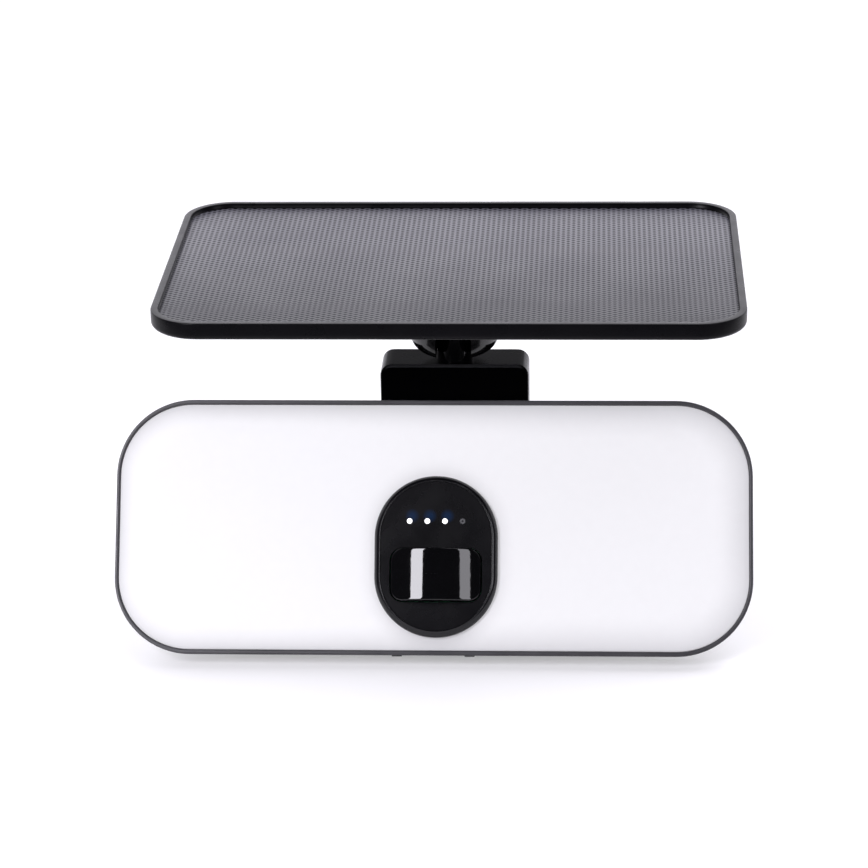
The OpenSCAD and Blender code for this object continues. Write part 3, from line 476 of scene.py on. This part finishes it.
def build_solar_film():
    """Film with a staggered field of shallow dimples, cut to the panel's rounded opening."""
    edge = RIM + 0.12
    half_w, half_d, radius = PANEL_W / 2 - edge, PANEL_D / 2 - edge, PANEL_R - edge
    xs = np.linspace(-half_w, half_w, int(2 * half_w / FILM_STEP) + 1)
    ys = np.linspace(-half_d, half_d, int(2 * half_d / FILM_STEP) + 1)
    grid_x, grid_y = np.meshgrid(xs, ys)
    column = DIMPLE_PITCH * math.sqrt(3) / 2
    directions = ((0.5 / column, 1 / DIMPLE_PITCH), (0.5 / column, -1 / DIMPLE_PITCH), (1 / column, 0))
    waves = sum(np.cos(2 * math.pi * (grid_x * ax + grid_y * ay)) for ax, ay in directions)
    hollow = np.clip((waves + 1.1) / 3.6, 0, 1)
    depth = DIMPLE_DEPTH * hollow
    # Pull the points past the rounded corners back onto them
    over_x = np.maximum(np.abs(grid_x) - (half_w - radius), 0)
    over_y = np.maximum(np.abs(grid_y) - (half_d - radius), 0)
    reach = np.hypot(over_x, over_y)
    pull = np.where(reach > radius, radius / np.maximum(reach, 1e-9), 1.0)
    at_x = np.sign(grid_x) * (np.abs(grid_x) - over_x * (1 - pull))
    at_y = np.sign(grid_y) * (np.abs(grid_y) - over_y * (1 - pull))
    rows, columns = grid_x.shape
    top = FILM_TOP / MM - FILM_SINK - 0.08
    places = [PANEL_MID.x + at_x * MM, PANEL_MID.y + at_y * MM, (top - depth) * MM]
    points = np.stack(places, axis=-1).reshape(-1, 3)
    index = np.arange(rows * columns).reshape(rows, columns)
    inside = reach <= radius + FILM_STEP
    keep = inside[:-1, :-1] & inside[1:, :-1] & inside[:-1, 1:] & inside[1:, 1:]
    quads = np.stack([index[:-1, :-1], index[:-1, 1:], index[1:, 1:], index[1:, :-1]], axis=-1)[keep]
    used = np.unique(quads)
    renumber = np.full(rows * columns, -1)
    renumber[used] = np.arange(len(used))
    piece = make_mesh("dimpled_film", points[used].tolist(), renumber[quads].tolist(), MAT["solar_film"],
                      "panel", ["solar_film"])
    set_values(piece, "hollow", hollow.reshape(-1)[used].astype(np.float32))


def carved(blank, cutters):
    """Points and faces of a solid after other solids have been cut from it."""
    scraps = []
    for points, faces in [blank, *cutters]:
        mesh = bpy.data.meshes.new("scrap")
        mesh.from_pydata([tuple(p) for p in points], [], faces)
        scraps.append(bpy.data.objects.new("scrap", mesh))
        bpy.context.collection.objects.link(scraps[-1])
    for cutter in scraps[1:]:
        cut = scraps[0].modifiers.new("cut", "BOOLEAN")
        cut.operation = "DIFFERENCE"
        cut.object = cutter
    result = scraps[0].evaluated_get(bpy.context.evaluated_depsgraph_get()).to_mesh()
    carved_points = [point.co.copy() for point in result.vertices]
    carved_faces = [tuple(face.vertices) for face in result.polygons]
    for scrap in scraps:
        bpy.data.objects.remove(scrap)
    return carved_points, carved_faces


def turned(centre, along, profile, count=96):
    """A closed solid turned about an axis through centre, from (radius, distance) pairs."""
    along = Vector(along)
    side = along.orthogonal().normalized()
    other = along.cross(side)
    angles = [2 * math.pi * k / count for k in range(count)]
    spokes = [side * math.cos(angle) + other * math.sin(angle) for angle in angles]
    loops = [[centre + along * (d * MM) + spoke * (r * MM) for spoke in spokes] for r, d in profile]
    return loft(loops, cap_first=True, cap_last=True)


# The cup's radius, lower edge radius and half slot width; its bolt seats' radius and distance from the middle
CUP_R = 18.2
CUP_EDGE = 8.5
CUP_SLOT = 7.2
SEAT_R = 4.8
SEAT_X = 13
# How far the shell's bottom lies above the CAD cup's, and the slot's roof below its top
CUP_LIFT = 0.4
SLOT_ROOF = 3.2


def build_cup():
    """Bowl under the panel, with the neck's slot, dull inside, and a seat for the bolt at each side."""
    pivot = Vector(JOINTS["panel_tilt"]["pos_m"])
    low = (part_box("neck_cup")[0].z - pivot.z) / MM + CUP_LIFT
    high = (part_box("neck_cup")[1].z - pivot.z) / MM
    middle = Vector((NECK.x, NECK.y, pivot.z))
    profile = [(CUP_R - CUP_EDGE + a, low + CUP_EDGE + b) for a, b in arc(CUP_EDGE, -90, 0, 14)]
    bowl = turned(middle, (0, 0, 1), profile + [(CUP_R, high)])
    corners = [middle + Vector((x * CUP_SLOT, y * (CUP_R + 1), z)) * MM
               for z in (low - 1, high - SLOT_ROOF) for x, y in ((-1, -1), (1, -1), (1, 1), (-1, 1))]
    slot = (corners, [(3, 2, 1, 0), (4, 5, 6, 7), (0, 1, 5, 4), (1, 2, 6, 5), (2, 3, 7, 6), (3, 0, 4, 7)])
    seats = [turned(middle, (side, 0, 0), [(SEAT_R, SEAT_X), (SEAT_R, CUP_R + 2)], 48) for side in (-1, 1)]
    points, faces = carved(bowl, [slot, *seats])
    piece = make_mesh("cup_shell", points, faces, MAT["gloss_black"], "panel", ["neck_cup"])
    piece.data.set_sharp_from_angle(angle=math.radians(35))
    piece.data.materials.append(MAT["matt_black"])
    for face in piece.data.polygons:
        from_slot_wall = abs(abs(face.center.x - NECK.x) - CUP_SLOT * MM)
        if abs(face.normal.x) > 0.99 and from_slot_wall < 0.1 * MM:
            face.material_index = 1


build_panel_frame()
build_solar_film()
build_cup()

# ---------------------------------------------------------------- lamp
LAMP_W = (BEZEL_HIGH.x - BEZEL_LOW.x) / MM
LAMP_H = 100.5
LAMP_R = 30
RIM_SIDE = 1.4
RIM_TOP = 1.8
BEZEL_R = 0.45
BEZEL_BACK = 7.6


def lamp_loop(inset_x, inset_z, depth):
    """Loop round the lamp's outline, drawn in, at a depth behind the face, in millimetres."""
    outline = rounded_outline(LAMP_W - 2 * inset_x, LAMP_H - 2 * inset_z, LAMP_R - (inset_x + inset_z) / 2)
    return [lamp_point(x, depth, z) for x, z in outline]


def build_bezel():
    """Slim frame round the diffuser, with rounded edges and an inner lip."""
    outside = [(0.9, BEZEL_BACK), (0.9, 3.2), (0.5, 3.0), (0, 1.6), (0, BEZEL_R)]
    outside += [(BEZEL_R - a, BEZEL_R - b) for a, b in arc(BEZEL_R, 0, 90, 4)]
    inside = [(-0.3, 0), (-0.08, 0.1), (0, 0.35), (0, 2.2), (5, 6.6), (5, BEZEL_BACK)]
    loops = [lamp_loop(inset, inset, depth) for inset, depth in outside]
    loops += [lamp_loop(RIM_SIDE + more, RIM_TOP + more, depth) for more, depth in inside]
    points, faces = loft(loops, closed=True)
    make_mesh("bezel_ring", points, faces, MAT["bezel_grey"], "lamp", ["front_bezel"])


POD_W = 48.3
POD_H = 63.5
# The diffuser's depth in its middle and at the frame, how far it reaches under the pod, and its gap all round
DIFFUSER_FRONT = -0.8
DIFFUSER_EDGE = 0.6
POD_OVERLAP = 1.15
COVER_GAP = 0.15
COVER_HALF_W = LAMP_W / 2 - RIM_SIDE - COVER_GAP
COVER_HALF_H = LAMP_H / 2 - RIM_TOP - COVER_GAP
COVER_R = LAMP_R - (RIM_SIDE + RIM_TOP) / 2 - COVER_GAP
# The diffuser's rings of points: distances from the pod's hole and from the frame, and rings in between
FROM_POD = (0, 0.7, 1.5, 2.5, 4, 6, 8)
FROM_FRAME = (14, 11.5, 9.5, 7.5, 5.5, 4, 2.7, 1.6, 0.8, 0.3, 0)
BETWEEN = 6
# Neither group of rings takes up more than this share of the way from the hole to the frame
NEAR_SHARE = 0.4


def reach_of_hole(across, upward, hole_w, hole_h):
    """Distance from the pod's middle to its hole's edge, along a direction."""
    size = math.hypot(across, upward)
    across, upward = across / size, upward / size
    radius, straight = hole_w / 2, (hole_h - hole_w) / 2
    if abs(across) > 1e-9 and abs(upward) * radius / abs(across) <= straight:
        return radius / abs(across)
    return straight * abs(upward) + math.sqrt(max(radius ** 2 - (straight * across) ** 2, 0))


def diffuser_spoke(x, z):
    """Points (x, z, distance from the hole) from the pod's hole out to a point of the cover's edge."""
    dx, dz = x - POD_X, z - POD_Z
    total = math.hypot(dx, dz)
    start = reach_of_hole(dx, dz, POD_W - 2 * POD_OVERLAP, POD_H - 2 * POD_OVERLAP)
    length = total - start
    inner = [start + min(d, length * NEAR_SHARE * d / FROM_POD[-1]) for d in FROM_POD]
    rim = [total - min(d, length * NEAR_SHARE * d / FROM_FRAME[0]) for d in FROM_FRAME]
    middle = [inner[-1] + (rim[0] - inner[-1]) * k / (BETWEEN + 1) for k in range(1, BETWEEN + 1)]
    return [(POD_X + dx * r / total, POD_Z + dz * r / total, r - start) for r in inner + middle + rim]


def inside_cover(x, z):
    """How far inside the diffuser's rounded outline a point lies."""
    inside = min(COVER_HALF_W - abs(x), COVER_HALF_H - abs(z))
    corner_x, corner_z = COVER_HALF_W - COVER_R, COVER_HALF_H - COVER_R
    if abs(x) > corner_x and abs(z) > corner_z:
        inside = COVER_R - math.hypot(abs(x) - corner_x, abs(z) - corner_z)
    return max(inside, 0)


def cover_glow_and_shade(x, z, inside, pod_gap):
    """Glow of the diffuser: full in the open, painted shade near the frame and the pod, and a little at the right.
    """
    right = min(max((x + 60) / 120, 0), 1)
    low = min(max((POD_Z - 16 - z) / 14, 0), 1)
    # Painted shade: the glow is dimmed near the frame, near the pod (more below it) and a little at the right
    painted_frame_shade = 0.28 * (1 - min(inside / (9 + 5 * right), 1)) ** 1.6
    painted_pod_shade = (0.2 + 0.12 * low ** 2) * (1 - min(pod_gap / 9, 1)) ** 1.8
    return 1 - painted_frame_shade - painted_pod_shade - 0.02 * right ** 2 * (3 - 2 * right)


def build_diffuser():
    """Opal cover: a low pillow that rolls off towards the frame, with the pod's hole and turned-in edges."""
    outer = rounded_outline(2 * COVER_HALF_W, 2 * COVER_HALF_H, COVER_R, count=20, along=70, up=16)
    spokes = [diffuser_spoke(x, z) for x, z in outer]
    loops = [[lamp_point(spoke[0][0], 2.4, spoke[0][1]) for spoke in spokes]]
    # Painted shade: the turned-in edges get a low glow
    glow = [0.4] * len(outer)
    for ring in zip(*spokes):
        loop = []
        for x, z, pod_gap in ring:
            inside = inside_cover(x, z)
            fall = (1 - min(inside / 15, 1)) ** 3
            loop.append(lamp_point(x, DIFFUSER_FRONT + (DIFFUSER_EDGE - DIFFUSER_FRONT) * fall, z))
            glow.append(cover_glow_and_shade(x, z, inside, pod_gap))
        loops.append(loop)
    for shrink_x, shrink_z, depth in ((1, 1, 2.3), (0.985, 0.97, 6.1)):
        loops.append([lamp_point(x * shrink_x, depth, z * shrink_z) for x, z in outer])
        glow += [0.3] * len(outer)
    points, faces = loft(loops)
    piece = make_mesh("opal_cover", points, faces, MAT["opal"], "lamp", ["diffuser"])
    set_values(piece, "glow", glow)


def pod_loop(inset, depth):
    """Loop round the pod's outline, drawn in, at a depth behind the lamp's face."""
    width = POD_W - 2 * inset
    outline = rounded_outline(width, POD_H - 2 * inset, width / 2 - 0.001)
    return [lamp_point(x + POD_X, depth, z + POD_Z) for x, z in outline]


def build_pod():
    """Pod ring: a sloping bevel, a thin raised lip and the step down to the face plate."""
    profile = [(1.3, 2.0), (1.3, -1.3), (0.25, -1.3), (0.06, -1.4), (0, -1.6), (0.04, -1.95), (0.25, -2.55),
               (0.65, -3.2), (1.15, -3.72), (1.6, -4.0), (1.95, -4.12), (1.97, -4.13), (2.02, -4.28),
               (2.11, -4.38), (2.22, -4.42), (2.33, -4.38), (2.41, -4.28), (2.45, -4.1), (2.45, -4.08),
               (2.45, -2.4), (3.1, -2.4), (3.1, 2.0)]
    loops = [pod_loop(inset, depth) for inset, depth in profile]
    points, faces = loft(loops, closed=True)
    make_mesh("pod_ring", points, faces, MAT["pod_plastic"], "lamp", ["pod_housing"])


WINDOW_W = 35.4
WINDOW_H = 20.5
WINDOW_R = 4.8
WINDOW_Z = -19.2
BULGE = 5.5
WINDOW_CURVE = ((WINDOW_W / 2) ** 2 + BULGE ** 2) / (2 * BULGE)
WINDOW_EDGE = 0.55
# Past this inset the loops close in faster from above and below than from the sides
EVEN_INSET = 1.2


def window_loop(inset, sink=0, flat=None):
    """Loop round the window, drawn in and sunk behind its cylinder, or at one flat depth."""
    inset_x = inset if inset < EVEN_INSET else EVEN_INSET + 0.3 * (inset - EVEN_INSET)
    outline = rounded_outline(WINDOW_W - 2 * inset_x, WINDOW_H - 2 * inset, max(WINDOW_R - inset, 0.005),
                              count=10, along=36, up=8)
    loop = []
    for x, z in outline:
        front = POD_FACE_Y - BULGE + WINDOW_CURVE - math.sqrt(WINDOW_CURVE ** 2 - x ** 2) + sink
        depth = flat if flat is not None else min(front, POD_FACE_Y + 1)
        loop.append(lamp_point(x + POD_X, depth, z + WINDOW_Z))
    return loop


def build_window():
    """Curved sensor window: part of an upright cylinder with softly rounded edges."""
    loops = [window_loop(0, flat=POD_FACE_Y + 1.5)]
    loops += [window_loop(WINDOW_EDGE - a, WINDOW_EDGE - b) for a, b in arc(WINDOW_EDGE, 0, 90, 6)]
    insets = (EVEN_INSET, 2.2, 3.4, 4.7, 6, 7.3, 8.6, 9.7, WINDOW_H / 2 - 0.001)
    loops += [window_loop(inset) for inset in insets]
    points, faces = loft(loops)
    make_mesh("window_shell", points, faces, MAT["window_gloss"], "lamp", ["sensor_window"])


build_bezel()
build_diffuser()
build_pod()
build_window()

# ---------------------------------------------------------------- studio
# Sizes and places are in metres from here on
BLOCK_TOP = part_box("bracket_body")[1][2]
FLOOR_HALF = 3.0
FLOOR_GAP = 0.0002
# Middle and radius of the floor's painted pool of light, which fills the view of the camera
POOL_X = 0
POOL_Y = 0.75
POOL_R = 1.06
# Distances from its middle at which the painted light has faded out and painted shade has darkened the floor's
# colour
LIGHT_POOL_END = 1.12
SHADE_END = 1.2


def build_floor():
    """Pale floor just below the object, with a painted pool of light inside a wide circle and painted shade
    outside it.
    """
    mesh = bpy.data.meshes.new("studio_floor")
    z = cad_bounds[0][2] - FLOOR_GAP
    corners = [(x * FLOOR_HALF, y * FLOOR_HALF, z) for x, y in ((-1, -1), (1, -1), (1, 1), (-1, 1))]
    mesh.from_pydata(corners, [], [(0, 1, 2, 3)])
    floor = bpy.data.objects.new("studio_floor", mesh)
    bpy.context.collection.objects.link(floor)
    material, tree, shader, coords = new_material("studio_floor")
    grain = noise(tree, coords, 3)
    tint(tree, grain.outputs["Fac"], (0.615, 0.61, 0.625), (0.625, 0.62, 0.635), shader)
    shader.inputs["Roughness"].default_value = 0.6
    shader.inputs["Specular IOR Level"].default_value = 0.1
    away = distance_from(tree, coords, (POOL_X, POOL_Y, z))
    # Painted light glows inside the pool, and painted shade darkens the floor outside it
    shader.inputs["Emission Color"].default_value = (1, 1, 1, 1)
    tree.links.new(spread(tree, away, FLOOR_LIGHT_POOL, 0.0, POOL_R, LIGHT_POOL_END), shader.inputs["Emission Strength"])
    shade_towards(tree, spread(tree, away, 0.0, 1.0, POOL_R, SHADE_END), (0.2, 0.198, 0.205), shader)
    mesh.materials.append(material)


def area_light(name, place, target, width, height, radiance):
    """A rectangular soft box that faces its target, as bright as its radiance says."""
    data = bpy.data.lights.new(name, "AREA")
    data.shape = "RECTANGLE"
    data.size = width
    data.size_y = height
    data.energy = radiance * math.pi * width * height
    data.color = STUDIO_WHITE
    light = bpy.data.objects.new(name, data)
    bpy.context.collection.objects.link(light)
    light.location = place
    direction = Vector(target) - Vector(place)
    light.rotation_euler = direction.to_track_quat("-Z", "Y").to_euler()


def build_world():
    """Bright room behind the object that darkens towards the front."""
    world = bpy.data.worlds.new("studio")
    bpy.context.scene.world = world
    world.use_nodes = True
    tree = world.node_tree
    tree.nodes["Background"].inputs["Color"].default_value = (*STUDIO_WHITE, 1)
    coords = tree.nodes.new("ShaderNodeTexCoord")
    split = tree.nodes.new("ShaderNodeSeparateXYZ")
    tree.links.new(coords.outputs["Generated"], split.inputs["Vector"])
    tree.links.new(spread(tree, split.outputs["Y"], ROOM_FRONT, ROOM_BACK, -0.1, 0.6),
                   tree.nodes["Background"].inputs["Strength"])


def build_lights():
    """A broad light above and a soft box at each side of the front."""
    build_world()
    pod = lamp_point(POD_X, 0, WINDOW_Z)
    left = pod + Vector((-0.54, -0.763, 0.58))
    right = pod + Vector((0.70, -0.637, 0.555))
    area_light("top_light", (0.45, 0.25, 1.2), (0, -0.05, 0), width=1.1, height=1.1, radiance=2.3)
    area_light("left_box", left, pod, width=0.32, height=0.62, radiance=17)
    area_light("right_box", right, pod, width=0.28, height=0.6, radiance=5)


def build_camera():
    """Camera above and a little to the right of the lamp's front."""
    azimuth, elevation, roll = map(math.radians, (CAMERA_AZIMUTH, CAMERA_ELEVATION, CAMERA_ROLL))
    right = Vector((math.cos(azimuth), math.sin(azimuth), 0))
    back = Vector((math.sin(azimuth) * math.cos(elevation), -math.cos(azimuth) * math.cos(elevation),
                   math.sin(elevation)))
    up = back.cross(right)
    aim = Vector((0, NECK.y, BLOCK_TOP)) + right * AIM_ACROSS + up * AIM_UP
    place = aim + back * CAMERA_DISTANCE
    across = right * math.cos(roll) + up * math.sin(roll)
    upward = up * math.cos(roll) - right * math.sin(roll)
    data = bpy.data.cameras.new("camera")
    data.sensor_width = SENSOR_WIDTH
    data.lens = CAMERA_LENS
    data.clip_end = 20
    camera = bpy.data.objects.new("camera", data)
    bpy.context.collection.objects.link(camera)
    camera.matrix_world = Matrix((
        (across.x, upward.x, back.x, place.x),
        (across.y, upward.y, back.y, place.y),
        (across.z, upward.z, back.z, place.z),
        (0, 0, 0, 1)))
    bpy.context.scene.camera = camera


build_floor()
build_lights()
build_camera()
bpy.context.scene.view_settings.view_transform = "Standard"
